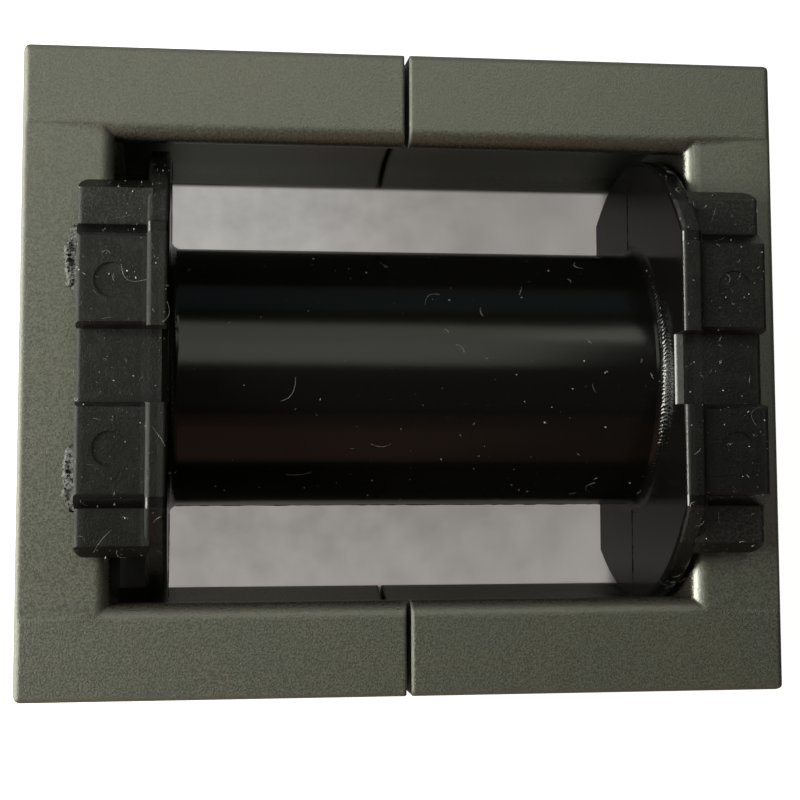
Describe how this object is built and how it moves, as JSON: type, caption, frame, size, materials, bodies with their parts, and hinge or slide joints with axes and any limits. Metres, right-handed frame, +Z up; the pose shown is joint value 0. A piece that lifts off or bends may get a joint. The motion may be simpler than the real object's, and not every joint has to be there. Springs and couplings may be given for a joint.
{
  "type": "ferrite transformer core with coil former",
  "caption": "Closed ferrite core of paired E halves with a round centre leg, joined through a black moulded coil former with flanged winding tube and end blocks; carries a transformer winding.",
  "frame": {"origin": "on the floor, below the middle of the core", "axes": "+X along the centre leg towards the right half, +Y across the outer legs, +Z up through the broad faces to the end blocks"},
  "size_m": [0.034, 0.0286, 0.0149],
  "materials": {
    "ferrite": "matte",
    "former_plastic": "satin",
    "dried_glue": "satin"
  },
  "bodies": {
    "root": {"core_half_left": "ferrite", "core_half_right": "ferrite", "coil_former": "former_plastic", "glue_dab_back": "dried_glue", "glue_dab_front": "dried_glue"}
  },
  "joints": []
}
